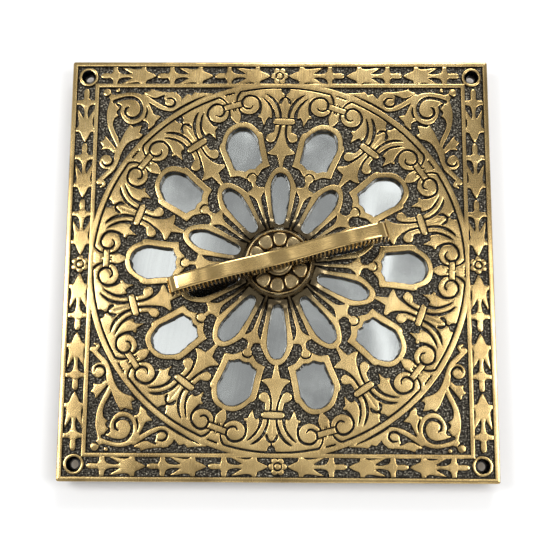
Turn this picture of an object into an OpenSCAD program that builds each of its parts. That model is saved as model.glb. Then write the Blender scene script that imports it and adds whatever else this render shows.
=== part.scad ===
// Square cast-brass ventilation register with a turning shutter.
// The pierced face plate carries ten outer windows and ten petal windows. A sheet disc behind it
// has the same windows, and the bow handle in the middle turns the disc by half a window pitch.
// Frame: origin at the middle of the rear mounting face, +Z out of the decorated face.

/* [Face plate] */
// Side of the square plate
plate_w = 202; // [180:0.5:240]
// Depth of the plate from its rear edge to the top of the relief
plate_t = 6; // [5.5:0.1:7]
// Height of the relief over the sunk ground
relief_h = 1.2; // [0.6:0.1:1.5]
// Depth of the round recess behind the plate that takes the shutter
recess_d = 2.6; // [2.6:0.1:3]
// Distance of each corner screw hole from the plate's middle lines
hole_at = 93.2; // [93:0.1:93.5]
// Diameter of the plain part of a corner screw hole
hole_d = 4; // [3.5:0.1:4.4]

/* [Windows] */
// Number of windows in each ring
windows = 10; // [10:1:10]
// Radius of the inner end of an outer window
window_in = 50; // [49.5:0.1:51]
// Radius of the outer end of an outer window
window_out = 70.7; // [69:0.1:71]
// Width of an outer window
window_w = 15.5; // [14:0.1:15.6]
// Radius of the inner end of a petal window
petal_in = 19.3; // [19:0.1:21]
// Radius of the outer end of a petal window
petal_out = 45.3; // [43:0.1:45.5]
// Width of a petal window
petal_w = 9; // [7:0.1:9.2]
// Turn of the cast pattern against the plate's sides
pattern_turn = -1; // [-2:0.1:2]

/* [Shutter] */
// Radius of the shutter disc
disc_r = 78; // [77.5:0.1:78.5]
// Thickness of the shutter sheet
disc_t = 1; // [0.8:0.1:1]
// Angle that the handle turns the shutter from shut to open
travel = 18; // [18:1:18]

/* [Handle] */
// Length of the bow over its curled ends
bow_l = 104; // [90:1:108]
// Width of the bow's top face
bow_w = 7; // [6:0.1:8]
// Depth of the bow at its middle
bow_d = 8.5; // [8:0.1:9]
// Height of the bow's two crests over the dip in its middle
bow_crest = 3; // [1:0.1:4]
// Angle of the bow to the plate's lower edge with the shutter shut
bow_angle = 15; // [0:1:30]
// Distance between the cuts along the bow's edges
reed_pitch = 1.9; // [1.8:0.1:2.5]

/* [Hidden] */
$fn = 96;
eps = 0.01;
// how far a straight side lies inside the round end that it runs into
lap = 0.03;

pitch = 360 / windows;
ground_z = plate_t - relief_h;
half = plate_w / 2;

// relief lines of the face
rim_w = 2.3;
frame_out = 89.9;
frame_w = 2;
ring_r = 90.6;
ring_w = 2.5;
edge_w = 2.4;
hole_ring_r = 4.6;
sink_r = 3.5;
sink_d = 2.2;
corner_r = 1;

// raised skirt in the middle of the plate
skirt_top = 5;
skirt_r = 15.8;
skirt_foot_r = 24;

// recess behind the plate
recess_r = 86;

// journal of the spindle and the sleeve that it turns in
journal_r = 4;
run_gap = 0.05;
bush_r = 6;

// rosette on top of the skirt
rosette_z = plate_t + skirt_top;
rosette_base = 1;
rosette_r = 15.6;
rosette_rim = 1.1;
rosette_rim_h = 2;
petal_ring_r = 10.7;
petal_bead_r = 3;

// stack in front of the bush
front_washer_t = 0.5;
front_washer_r = 6.2;
collar_z = rosette_z + rosette_base + run_gap + front_washer_t;
collar_r = 6.7;
collar_step_r = 5.7;
collar_step_h = 1.6;
bow_z = plate_t + 18;
bow_foot_z = bow_z - bow_d;

// bow handle
bow_bulge = 2;
bow_curl = 5;
bow_steps = 48;
reed_r = 0.42;
tenon_r = 3;
tenon_l = 5;

// stack behind the plate, from the plate's web to the end of the spindle
slide_washer_t = 0.45;
slide_washer_r = 11;
disc_top = recess_d - run_gap - slide_washer_t;
disc_z = disc_top - disc_t;
hub_t = 1.5;
hub_r = 11;
hub_z = disc_z - hub_t;
wave_t = 0.6;
wave_sheet = 0.3;
wave_r = 6.5;
wave_z = hub_z - wave_t;
washer_t = 0.6;
washer_r = 6;
washer_z = wave_z - washer_t;
nut_t = 2.2;
nut_af = 8;
clamp_nut_z = washer_z - nut_t;
jam_nut_z = clamp_nut_z - nut_t;
thread_r = 2.5;
thread_end = 0.6;
key_w = 5.6;
rivet_ring_r = 8;
rivet_r = 1.1;
rivet_head_r = 1.9;
rivet_head_t = 0.4;

// stop pin and the slot that it stands in
stop_at = 90;
stop_ring_r = 74;
stop_pin_r = 1;
stop_slot_r = 1.3;
stop_depth = 1.4;

// clips that hold the shutter's edge
clip_angles = [45, 135, 225, 315];
clip_in = 75.6;
clip_out = 85;
clip_w = 9;
clip_t = 0.9;
clip_screw_at = 82;
clip_gap = 0.1;
pad_in = 79;
pad_z = disc_z - clip_gap;
screw_r = 1.1;
screw_head_r = 2.1;
screw_l = 4;

// ---- plan shapes ------------------------------------------------------------------------

// A window: a wide round end at the radius r_out, tapering to a narrow end at r_in.
// grow widens the whole outline, as for the raised edge around it.
module taper_window(r_in, r_out, w_in, w_out, grow) {
    big = w_out / 2;
    mid = r_out - big;
    side = big + grow - lap;
    translate([mid, 0]) circle(r = big + grow);
    polygon([[r_in - grow, -w_in / 2 - grow], [mid, -side], [mid, side],
        [r_in - grow, w_in / 2 + grow]]);
}

// An outer window, with its long axis on +X
module outer_window(grow = 0) {
    taper_window(window_in, window_out, window_w - 0.6, window_w, grow);
}

// A petal window: a round outer end, straight sides and a small round inner end
module petal_window(grow = 0) {
    big = petal_w / 2;
    small = 1.3;
    far = petal_out - big;
    near = petal_in + small;
    lean = asin((big - small) / (far - near));
    translate([far, 0]) circle(r = big + grow);
    translate([near, 0]) circle(r = small + grow);
    polygon([for (side = [-1, 1], end = [0, 1])
        let (along = side < 0 ? end : 1 - end, r = along == 0 ? small : big)
        [(along == 0 ? near : far) - (r + grow - lap) * sin(lean),
            side * (r + grow - lap) * cos(lean)]]);
}

// Both rings of windows. turn moves them round by an angle.
module window_rings(turn = 0, grow = 0) {
    for (k = [0 : windows - 1]) rotate(k * pitch + pattern_turn + turn) {
        outer_window(grow);
        rotate(pitch / 2) petal_window(grow);
    }
}

module square_ring(outer, width) {
    difference() {
        square(2 * outer, center = true);
        square(2 * (outer - width), center = true);
    }
}

module ring(outer, width) {
    difference() {
        circle(r = outer, $fn = 180);
        circle(r = outer - width, $fn = 180);
    }
}

module at_corners() {
    for (x = [-1, 1], y = [-1, 1]) translate([x * hole_at, y * hole_at]) children();
}

// ---- fixed parts ------------------------------------------------------------------------

// Raised lines of the decorated face: rim, inner frame, great ring, window edges and ribs
module relief() {
    square_ring(half, rim_w);
    square_ring(frame_out, frame_w);
    ring(ring_r, ring_w);
    at_corners() circle(r = hole_ring_r);
    window_rings(grow = edge_w);
    for (k = [0 : windows - 1]) rotate(k * pitch + pattern_turn) {
        translate([skirt_foot_r - 4, -0.8]) square([window_in - edge_w - skirt_foot_r + 4, 1.6]);
        translate([43.5, 0]) circle(r = 1.9);
        for (side = [-1, 1]) rotate(side * 5.5) translate([81.2, 0]) circle(r = 3.6);
        rotate(pitch / 2) translate([71.2, 0]) square([3.6, 10], center = true);
        rotate(pitch / 2) translate([48, -1.2]) square([38, 2.4]);
    }
}

module skirt() {
    translate([0, 0, ground_z]) rotate_extrude()
        polygon([[0, 0], [skirt_foot_r, 0], [skirt_foot_r, relief_h], [20.5, relief_h + 0.7],
            [18.2, relief_h + 2.2], [skirt_r, relief_h + skirt_top], [0, relief_h + skirt_top]]);
}

module face_plate() {
    color("#a8843f") difference() {
        union() {
            linear_extrude(ground_z) square(plate_w, center = true);
            translate([0, 0, ground_z]) linear_extrude(relief_h) relief();
            skirt();
        }
        difference() {
            translate([0, 0, -1]) cylinder(r = recess_r, h = recess_d + 1, $fn = 180);
            for (a = clip_angles) rotate(a) clip_pad();
        }
        translate([0, 0, -1]) linear_extrude(plate_t + skirt_top + 2) window_rings();
        translate([0, 0, -1]) cylinder(r = bush_r, h = plate_t + skirt_top + 2);
        at_corners() {
            translate([0, 0, -1]) cylinder(d = hole_d, h = plate_t + 2);
            translate([0, 0, plate_t - sink_d])
                cylinder(r1 = hole_d / 2, r2 = sink_r, h = sink_d + eps);
        }
        rotate(stop_at) translate([stop_ring_r, 0, recess_d - eps])
            cylinder(r = stop_pin_r, h = stop_depth + eps);
        for (a = clip_angles) rotate(a) translate([clip_screw_at, 0, pad_z - eps])
            cylinder(r = screw_r, h = screw_l - clip_t + eps);
    }
}

// Cast pad on the back of the plate that a rim clip is screwed to
module clip_pad() {
    translate([pad_in, -clip_w / 2, pad_z]) cube([recess_r - pad_in + 1, clip_w, recess_d - pad_z + 1]);
}

module rosette() {
    color("#8a6a33") translate([0, 0, rosette_z]) difference() {
        union() {
            cylinder(r = rosette_r, h = rosette_base);
            difference() {
                cylinder(r = rosette_r, h = rosette_rim_h);
                translate([0, 0, -1]) cylinder(r = rosette_r - rosette_rim, h = rosette_rim_h + 2);
            }
            for (k = [0 : windows - 1]) rotate((k + 0.5) * pitch)
                translate([petal_ring_r, 0, rosette_base / 2])
                    cylinder(r1 = petal_bead_r, r2 = petal_bead_r - 1, h = 1.7);
        }
        translate([0, 0, -1]) cylinder(r = bush_r, h = 2 + rosette_base);
        translate([0, 0, rosette_base]) cylinder(r = collar_r + 0.4, h = 3);
    }
}

module spindle_bush() {
    color("#c9a24e") translate([0, 0, recess_d]) difference() {
        cylinder(r = bush_r, h = rosette_z + rosette_base - recess_d);
        translate([0, 0, -1]) cylinder(r = journal_r + run_gap, h = rosette_z + rosette_base);
    }
}

module stop_pin() {
    color("#9c9c98") rotate(stop_at) translate([stop_ring_r, 0, disc_z - 0.3])
        cylinder(r = stop_pin_r, h = recess_d + stop_depth - disc_z + 0.3);
}

module rim_clip(index) {
    color("#b9963f") rotate(clip_angles[index - 1]) difference() {
        translate([clip_in, -clip_w / 2, pad_z - clip_t])
            cube([clip_out - clip_in, clip_w, clip_t]);
        translate([clip_screw_at, 0, pad_z - clip_t]) {
            translate([0, 0, -1]) cylinder(r = screw_r + 0.1, h = clip_t + 2);
            translate([0, 0, -eps])
                cylinder(r1 = screw_head_r + 0.15, r2 = screw_r + 0.1, h = clip_t + eps);
        }
    }
}

module clip_screws() {
    color("#8d8f92") for (a = clip_angles) rotate(a) translate([clip_screw_at, 0, pad_z - clip_t])
        difference() {
            union() {
                cylinder(r1 = screw_head_r, r2 = screw_r, h = clip_t);
                translate([0, 0, clip_t - eps]) cylinder(r = screw_r, h = screw_l - clip_t);
            }
            translate([-screw_head_r - 1, -0.25, -1]) cube([2 * screw_head_r + 2, 0.5, 1.4]);
        }
}

// ---- turning parts ----------------------------------------------------------------------

// Height of the bow's top over its middle, s millimetres along it
function bow_top(s) =
    let (edge = bow_l / 2 - abs(s), wave = bow_crest * pow(sin(180 * abs(s) / 66), 2),
        drop = edge < bow_curl ? bow_curl * (1 - sqrt(1 - pow(1 - edge / bow_curl, 2))) : 0)
    wave - drop;

// Height of the bow's underside over its middle's top
function bow_under(s) =
    -bow_d + 0.8 * bow_crest * pow(sin(min(90, 90 * abs(s) / 30)), 2)
        - (abs(s) > 36 ? 0.7 * bow_crest * (1 - cos(90 * (abs(s) - 36) / 14)) : 0);

module turn_handle() {
    reach = bow_l / 2;
    top = [for (i = [0 : bow_steps])
        let (s = reach * sin(-90 + 180 * i / bow_steps)) [s, bow_z + bow_top(s)]];
    under = [for (i = [bow_steps / 2 : -1 : 0])
        let (s = (reach - 0.6) * (-1 + 4 * i / bow_steps)) [s, bow_z + bow_under(s)]];
    color("#c39a45") rotate(bow_angle) difference() {
        rotate([90, 0, 0]) translate([0, 0, -bow_w / 2 - bow_bulge / 2])
            linear_extrude(bow_w + bow_bulge) polygon(concat(top, under));
        for (side = [-1, 1], i = [-25 : 25])
            translate([i * reed_pitch, side * (bow_w + bow_bulge) / 2, bow_foot_z - 5])
                cylinder(r = reed_r, h = bow_d + 12, $fn = 16);
        translate([0, 0, bow_foot_z - 1]) cylinder(r = tenon_r, h = tenon_l + 1);
    }
}

// Stepped collar that the bow stands on
module stem_collar() {
    color("#a8843f") translate([0, 0, collar_z]) difference() {
        union() {
            cylinder(r = collar_r, h = collar_step_h);
            cylinder(r = collar_step_r, h = bow_foot_z - collar_z);
        }
        translate([0, 0, -1]) cylinder(r = journal_r, h = bow_d + 3);
    }
}

module washer(outer, inner, z, t, tint) {
    color(tint) translate([0, 0, z]) difference() {
        cylinder(r = outer, h = t);
        translate([0, 0, -1]) cylinder(r = inner, h = t + 2);
    }
}

module front_washer() {
    washer(front_washer_r, journal_r + 0.1, collar_z - front_washer_t, front_washer_t, "#3a3a3a");
}

module spindle() {
    key_z = hub_z + 0.2;
    end_z = jam_nut_z - thread_end;
    color("#b08d45") {
        translate([0, 0, disc_top]) cylinder(r = journal_r, h = bow_foot_z - disc_top);
        translate([0, 0, bow_foot_z - eps]) cylinder(r = tenon_r, h = tenon_l - 0.3);
        translate([-key_w / 2, -key_w / 2, key_z]) cube([key_w, key_w, disc_top - key_z + eps]);
        translate([0, 0, end_z]) cylinder(r = thread_r, h = key_z - end_z + eps);
    }
}

module slide_washer() {
    washer(slide_washer_r, journal_r + 0.2, disc_top, slide_washer_t, "#6b5b48");
}

module key_hole() {
    translate([-key_w / 2, -key_w / 2, -1]) cube([key_w, key_w, 10]);
}

module rivet_ring() {
    for (a = [45 : 90 : 315]) rotate(a) translate([rivet_ring_r, 0]) children();
}

module shutter_disc() {
    color("#b9c0c6") translate([0, 0, disc_z]) difference() {
        cylinder(r = disc_r, h = disc_t, $fn = 180);
        translate([0, 0, -1]) linear_extrude(disc_t + 2) window_rings(turn = travel);
        key_hole();
        rivet_ring() translate([0, 0, -1]) cylinder(r = rivet_r, h = disc_t + 2);
        rotate(stop_at) {
            translate([0, 0, -1]) rotate_extrude(angle = travel)
                translate([stop_ring_r - stop_slot_r, 0]) square([2 * stop_slot_r, disc_t + 2]);
            for (a = [0, travel]) rotate(a) translate([stop_ring_r, 0, -1])
                cylinder(r = stop_slot_r + lap, h = disc_t + 2);
        }
    }
}

module shutter_hub() {
    color("#b08d45") translate([0, 0, hub_z]) difference() {
        cylinder(r = hub_r, h = hub_t);
        key_hole();
        rivet_ring() translate([0, 0, -1]) cylinder(r = rivet_r, h = hub_t + 2);
    }
}

// Rivets that fasten the hub to the sheet, with a flat head behind
module hub_rivets() {
    color("#9c9c98") rivet_ring() {
        translate([0, 0, hub_z]) cylinder(r = rivet_r, h = hub_t + disc_t);
        translate([0, 0, hub_z - rivet_head_t]) cylinder(r = rivet_head_r, h = rivet_head_t);
    }
}

// Dished spring washer that presses the hub towards the plate
module wave_washer() {
    color("#8d8f92") translate([0, 0, wave_z]) rotate_extrude()
        polygon([[thread_r + 0.1, 0], [3.6, 0], [wave_r - 0.4, wave_t - wave_sheet],
            [wave_r - 0.4, wave_t], [3.4, wave_sheet], [thread_r + 0.1, wave_sheet]]);
}

module flat_washer() {
    washer(washer_r, thread_r + 0.1, washer_z, washer_t, "#8d8f92");
}

module hex_nut(z) {
    color("#8d8f92") translate([0, 0, z]) difference() {
        intersection() {
            cylinder(d = nut_af / cos(30), h = nut_t, $fn = 6);
            cylinder(r1 = nut_af / 2 + 0.2, r2 = nut_af / 2 + 0.2 + nut_t, h = nut_t);
        }
        translate([0, 0, -1]) cylinder(r = thread_r, h = nut_t + 2);
    }
}

module clamp_nut() {
    hex_nut(clamp_nut_z);
}

module jam_nut() {
    rotate(20) hex_nut(jam_nut_z);
}

face_plate();
rosette();
spindle_bush();
stop_pin();
rim_clip(1);  // rim_clip_1
rim_clip(2);  // rim_clip_2
rim_clip(3);  // rim_clip_3
rim_clip(4);  // rim_clip_4
clip_screws();
turn_handle();
stem_collar();
front_washer();
spindle();
slide_washer();
shutter_disc();
shutter_hub();
hub_rivets();
wave_washer();
flat_washer();
clamp_nut();
jam_nut();
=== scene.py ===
from math import asin, copysign, cos, degrees, exp, hypot, pi, radians, sin, sqrt

import bpy
import numpy as np
from mathutils import Matrix, Vector
from mathutils.geometry import delaunay_2d_cdt


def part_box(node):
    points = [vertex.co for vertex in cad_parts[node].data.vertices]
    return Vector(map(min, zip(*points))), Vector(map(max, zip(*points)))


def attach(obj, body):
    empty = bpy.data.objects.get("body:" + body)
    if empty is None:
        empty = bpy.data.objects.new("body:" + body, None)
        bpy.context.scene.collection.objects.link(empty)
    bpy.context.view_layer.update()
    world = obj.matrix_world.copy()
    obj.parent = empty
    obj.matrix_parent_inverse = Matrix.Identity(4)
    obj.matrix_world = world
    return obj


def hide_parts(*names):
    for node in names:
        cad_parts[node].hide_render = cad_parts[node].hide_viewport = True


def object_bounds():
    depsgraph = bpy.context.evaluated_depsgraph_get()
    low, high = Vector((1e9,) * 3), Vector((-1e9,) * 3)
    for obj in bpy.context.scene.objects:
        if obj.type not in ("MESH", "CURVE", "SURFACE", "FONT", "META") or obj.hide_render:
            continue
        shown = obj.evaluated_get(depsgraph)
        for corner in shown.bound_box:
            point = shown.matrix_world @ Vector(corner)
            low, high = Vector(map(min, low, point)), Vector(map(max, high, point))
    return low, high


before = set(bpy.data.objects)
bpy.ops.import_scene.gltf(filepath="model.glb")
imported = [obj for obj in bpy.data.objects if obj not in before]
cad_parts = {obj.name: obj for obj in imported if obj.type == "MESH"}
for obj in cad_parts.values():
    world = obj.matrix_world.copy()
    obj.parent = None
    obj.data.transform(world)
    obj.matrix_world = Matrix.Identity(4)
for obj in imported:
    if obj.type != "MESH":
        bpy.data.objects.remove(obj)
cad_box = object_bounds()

# A square cast-brass register with a turning shutter. Shapes are worked out in millimetres in the
# part's own frame, and MM turns them into metres when a mesh is made.
MM = 0.001
scene = bpy.context.scene

# ---- sizes ----

plate_low, plate_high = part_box("face_plate")
HALF = plate_high.x / MM
EDGE_ROUND = 0.4

# heights
BACK_Z = plate_low.z / MM
BOSS_Z = plate_high.z / MM
SKIRT_RISE = 5.0
FACE_Z = BOSS_Z - SKIRT_RISE
RELIEF = 1.2
GROUND_Z = FACE_Z - RELIEF
WEB_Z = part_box("spindle_bush")[0].z / MM
PAD_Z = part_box("rim_clip_1")[1].z / MM

# recess and clip pads behind the plate
RECESS_R = 86.0
PAD_IN = 79.0
PAD_WIDTH = 9.0

# raised middle, and the ring around it, where the brass is darkened as painted shade and dark
# reflection of the handle and rosette
BUSH_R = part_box("spindle_bush")[1].x / MM
SKIRT_R = 15.8
SKIRT_FOOT_R = 24.0
BOSS_EDGE_R = 16.9
PAINTED_SHADE_IN = 21.0
PAINTED_SHADE_OUT = 33.0

# openings: a ring of windows and a ring of petals
WINDOWS = 10
PITCH = 360 / WINDOWS
OPENINGS = 2 * WINDOWS
JAG_LEAST = 0.1
JAG_RANGE = 0.9

# straight and round lines of the relief, from the plate's edge inwards
RIM_IN = 98.7
BAND_MIDDLE = 93.9
SQUARE_OUT = 89.9
SQUARE_IN = 87.9
RING_EDGE = 91.15
RING_OUT = 90.6
RING_GROOVE = 87.7
ORNAMENT_IN = 80.2

# corner screws
SCREW_AT = 93.2
SCREW_RING_R = 4.7
SINK_R = 3.5
SINK_DEPTH = 2.2
SCREW_R = 2.0
HOLE_SIDES = 48

# heights of the relief's wall: at these distances inside the outline it has risen by these shares
WALL_INSIDE = [-0.1, 0.12, 0.45]
WALL_RISE = [0.0, 0.93, 1.0]
# ground farther than this outside the outlines is out of the painted shade that darkens the foot of
# the walls
OPEN_GROUND = -0.55

# ---- lines and outlines ----


def smooth(points, closed=False, parts=5):
    """A smooth line through the points. A point given twice is a sharp corner."""
    p = np.array(points, float)
    if closed:
        p = np.vstack([p[-1], p, p[:2]])
    else:
        p = np.vstack([2 * p[0] - p[1], p, 2 * p[-1] - p[-2]])
    line = []
    for a, b, c, d in zip(p, p[1:], p[2:], p[3:]):
        if np.allclose(b[:2], c[:2]):
            continue
        for t in np.arange(parts) / parts:
            line.append(b + 0.5 * ((c - a) * t + (2 * a - 5 * b + 4 * c - d) * t**2
                                   + (3 * b - a - 3 * c + d) * t**3))
    if not closed:
        line.append(p[-2])
    return np.array(line)


def both_sides(half_outline):
    """A closed outline from its right half, which runs from one end of the axis to the other."""
    half = np.array(half_outline, float)
    return np.vstack([half, half[::-1] * [-1, 1]])


def circle(centre, radius, count):
    turn = np.arange(count) * 2 * pi / count
    return np.stack([centre[0] + radius * np.cos(turn), centre[1] + radius * np.sin(turn)], 1)


def rounded_square(half, radius, parts=6):
    corners = []
    for k in range(4):
        a = pi / 2 * k + np.linspace(0, pi / 2, parts)
        middle = (half - radius) * sqrt(2)
        cx = middle * cos(pi / 4 + pi / 2 * k)
        cy = middle * sin(pi / 4 + pi / 2 * k)
        corners.append(np.stack([cx + radius * np.cos(a), cy + radius * np.sin(a)], 1))
    return np.vstack(corners)


def grown(loop, distance):
    """The closed line moved outwards by a distance."""
    ahead = np.roll(loop, -1, 0) - loop
    behind = loop - np.roll(loop, 1, 0)
    n1 = np.stack([ahead[:, 1], -ahead[:, 0]], 1) / np.linalg.norm(ahead, axis=1)[:, None]
    n2 = np.stack([behind[:, 1], -behind[:, 0]], 1) / np.linalg.norm(behind, axis=1)[:, None]
    bisector = n1 + n2
    bisector /= np.maximum((bisector**2).sum(1), 0.8)[:, None] / 2
    area = 0.5 * np.sum(loop[:, 0] * np.roll(loop[:, 1], -1) - np.roll(loop[:, 0], -1) * loop[:, 1])
    return loop + bisector * distance * copysign(1, area)


def is_inside(loop, x, y):
    """Which of the points lie inside the closed line."""
    hit = np.zeros(x.shape, bool)
    for (x0, y0), (x1, y1) in zip(loop, np.roll(loop, -1, 0)):
        if y0 == y1:
            continue
        crosses = (y0 > y) != (y1 > y)
        hit ^= crosses & (x < (x1 - x0) * (y - y0) / (y1 - y0) + x0)
    return hit


# ---- the relief as a field of distances ----
# The field holds, for each point of a fine square grid, how far it lies inside the raised shapes.

STEP = 0.2
AXIS = np.arange(round(2 * HALF / STEP) + 1) * STEP - HALF
MARGIN = 1.0


class Fold:
    """Where every grid point lies in a motif's own frame, in which all its copies fall together."""

    def __init__(self, u, v):
        self.u = u.ravel()
        self.v = v.ravel()

    def near(self, points, reach):
        low = np.min(points, 0)[:2] - reach
        high = np.max(points, 0)[:2] + reach
        return np.flatnonzero((self.u > low[0]) & (self.u < high[0])
                              & (self.v > low[1]) & (self.v < high[1]))


def disc(centre, radius):
    def measure(fold):
        at = fold.near([centre], radius + MARGIN)
        return at, radius - np.hypot(fold.u[at] - centre[0], fold.v[at] - centre[1])
    return measure


def stroke(points, widths, parts=5):
    """A line drawn with a changing width: widths are half widths, one for each point."""
    line = smooth([(*p, w) for p, w in zip(points, widths)], parts=parts)

    def measure(fold):
        at = fold.near(line, np.max(line[:, 2]) + MARGIN)
        u, v = fold.u[at], fold.v[at]
        depth = np.full(len(at), -9.0)
        for (x0, y0, w0), (x1, y1, w1) in zip(line, line[1:]):
            ex, ey = x1 - x0, y1 - y0
            t = np.clip(((u - x0) * ex + (v - y0) * ey) / (ex * ex + ey * ey), 0, 1)
            gap = np.hypot(u - x0 - t * ex, v - y0 - t * ey)
            np.maximum(depth, w0 + t * (w1 - w0) - gap, out=depth)
        return at, depth
    return measure


def straight(start, end, *widths):
    return stroke([start, end], widths, parts=1)


def patch(outline, extra=0.0):
    """A filled outline, grown by extra."""
    def measure(fold):
        at = fold.near(outline, MARGIN + extra)
        u, v = fold.u[at], fold.v[at]
        near = np.full(len(at), 1e9)
        for (x0, y0), (x1, y1) in zip(outline, np.roll(outline, -1, 0)):
            ex, ey = x1 - x0, y1 - y0
            t = np.clip(((u - x0) * ex + (v - y0) * ey) / (ex * ex + ey * ey + 1e-12), 0, 1)
            np.minimum(near, (u - x0 - t * ex)**2 + (v - y0 - t * ey)**2, out=near)
        return at, np.where(is_inside(outline, u, v), 1, -1) * np.sqrt(near) + extra
    return measure


def mirrored(half_outline, extra=0.0):
    return patch(both_sides(half_outline), extra)


class Relief:
    """The field, with the frames that its motifs are drawn in."""

    def __init__(self):
        x, y = np.meshgrid(AXIS, AXIS)
        self.shape = x.shape
        self.depth = np.full(x.size, -5.0)
        self.square = np.maximum(abs(x), abs(y)).ravel()
        self.radius = np.hypot(x, y).ravel()
        self.window_axis = self.polar_fold(x, y, 0)
        self.petal_axis = self.polar_fold(x, y, PITCH / 2)
        self.corner = Fold(abs(x), abs(y))
        along = np.where(abs(x) > abs(y), abs(y), abs(x))
        across = np.where(abs(x) > abs(y), abs(x), abs(y)) - BAND_MIDDLE
        self.side_middle = Fold(along, abs(across))
        # three arrow-like units along half a side, and where the tail of each is
        tail = np.select([along > 59.9, along > 32.1], [87.3, 59.6], 31.6)
        self.band = Fold(tail - along, abs(across))

    @staticmethod
    def polar_fold(x, y, first):
        r = np.hypot(x, y)
        turn = np.degrees(np.arctan2(y, x)) - twist(r) - first
        lean = np.radians((turn + PITCH / 2) % PITCH - PITCH / 2)
        return Fold(abs(r * np.sin(lean)), r * np.cos(lean))

    def add(self, fold, *shapes):
        for measure in shapes:
            at, depth = measure(fold)
            self.depth[at] = np.maximum(self.depth[at], depth)

    def cut(self, fold, *shapes):
        for measure in shapes:
            at, depth = measure(fold)
            self.depth[at] = np.minimum(self.depth[at], -depth)

    def add_everywhere(self, depth):
        self.depth = np.maximum(self.depth, depth)


def twist(radius):
    """How far the cast pattern is turned at a radius, in degrees."""
    t = np.clip((radius - 60) / 14, 0, 1)
    return -1 - t * t * (3 - 2 * t)


# ---- motifs ----

# Right halves of the openings, in the frame whose second coordinate runs outwards
PETAL_HOLE = smooth([
     (0, 44.9), (2, 44.2), (3.3, 42.3), (4.2, 40), (4.6, 37.5), (4.5, 35.5), (4.2, 31), (3.6, 27),
    (2.9, 23), (2.2, 20.6), (1.3, 19.6), (0, 19.2)])
WINDOW_HOLE = smooth([
     (0, 70.4), (3, 69.6), (5.2, 68), (6.8, 65.5), (8, 62.3), (7.7, 59), (7.2, 55), (6.9, 51.2),
    (6.6, 50.2), (6.6, 50.2), (4.9, 49.7), (3.4, 48.8), (2.4, 48.3), (1.2, 48.6), (0, 48.9)])


def draw_petals(relief):
    """Frame of a petal opening, and the spike that grows from its tip"""
    axis = relief.petal_axis
    petal_frame = smooth([
         (0, 48), (2.4, 47.1), (4.2, 45.3), (5.6, 43), (6.5, 41), (7.4, 38.5), (7.6, 36.5), (7.2, 34),
        (6.6, 31), (6, 28), (5.4, 24.5), (4.9, 21), (4.4, 17)])
    spike = smooth([
         (0.7, 47), (1.2, 50.5), (2, 53.5), (2, 53.5), (5.4, 54), (6.5, 55.1), (4.2, 57), (2.8, 59.3),
        (1.9, 62), (1.2, 65), (0.95, 69.5)])
    relief.add(axis, mirrored(petal_frame), mirrored(spike),
               stroke([(3, 69.5), (3.1, 66.5), (3.6, 64.2), (5.3, 62.3)], [1.1, 1.1, 1.3, 2.3]))


def draw_windows(relief):
    """Frame of an outer opening, with the knob and the spine that run from it to the middle"""
    axis = relief.window_axis
    window_frame = smooth([
         (0, 72.7), (4, 71.9), (6.7, 70), (8.6, 67.2), (9.4, 65.4), (9.4, 65.4), (10.5, 64.6),
        (11, 63.2), (10.9, 61.5), (10.6, 58), (10.2, 54), (9.9, 51), (9.9, 47.6), (9.9, 47.6),
        (8.4, 47.3), (6.6, 47.1), (5.2, 46.5), (4.2, 45.6), (3.2, 44.7), (2, 44), (0, 43.4)])
    spine = smooth([
         (1, 43), (1, 40.4), (1.4, 39.4), (2.4, 38.7), (4.3, 38.3), (4.3, 38.3), (4.5, 36.6),
        (4.5, 36.6), (3.4, 36.1), (2.4, 35.1), (1.5, 33.8), (1.05, 32), (0.95, 30), (0.8, 26),
        (0.7, 22), (0.7, 16)])
    relief.add(axis, mirrored(window_frame), mirrored(spine))
    knob = (0, 43.9)
    over = [(knob[0] + 2.5 * sin(a), knob[1] + 2.5 * cos(a))
            for a in np.radians([-80, -50, -20, 20, 50, 80])]
    relief.cut(axis, stroke(over, [0.1, 0.28, 0.3, 0.3, 0.28, 0.1]))
    relief.add(axis, disc(knob, 2.05))


def draw_palmettes(relief):
    """Fan of leaves outside each petal opening, tied to the spike by a band"""
    axis = relief.petal_axis
    fan = smooth([
         (0, 72), (4.3, 72), (4.3, 72), (4.7, 74), (5.3, 76), (6.2, 78), (7.6, 80), (8.6, 81),
        (8.6, 81), (0, 81)])
    leaf = smooth([
         (6.2, 72.2), (6.2, 72.2), (6.1, 74), (6.5, 76), (7.2, 78), (8.4, 80), (9.2, 81), (9.2, 81),
        (12.4, 81), (12.4, 81), (12.3, 78.5), (12.4, 76.5), (12.6, 74.5), (13.1, 72.6), (13.1, 72.6),
        (11.4, 72.1), (10.7, 70.9), (9.5, 67.9), (9.5, 67.9), (9, 70.3), (8.4, 71.9),
        (7.6, 72.6)], closed=True)
    relief.add(axis, patch(fan), patch(leaf))
    inner_groove = stroke([(1.9, 72), (2.2, 75), (3.2, 78), (4.3, 80), (6, 82), (8, 83.5),
                           (9.5, 84.3)], [0.5, 0.55, 0.65, 0.65, 0.6, 0.45, 0.1])
    outer_groove = stroke([(4.8, 71.8), (5.3, 75), (6.2, 77), (7.8, 79.3), (9.5, 81.2),
                           (11.4, 82.7)], [0.5, 0.45, 0.45, 0.45, 0.4, 0.05])
    top_cell = smooth([(0, 84.4), (0.9, 84.8), (1.6, 85.6), (1.9, 86.6), (2.1, 87.6), (0, 87.6)])
    relief.cut(axis, inner_groove, outer_groove, mirrored(top_cell),
               straight((0, 85), (0, 82.8), 0.4, 0.35),
               stroke([(0, 83.2), (1.2, 82.4), (2.1, 81.2), (2.35, 79.9)], [0.3, 0.5, 0.7, 0.45]),
               straight((0, 70.6), (4.2, 70.6), 2.0, 1.9))
    relief.add(axis, straight((0, 70.6), (4, 70.6), 1.55, 1.35))


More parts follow.
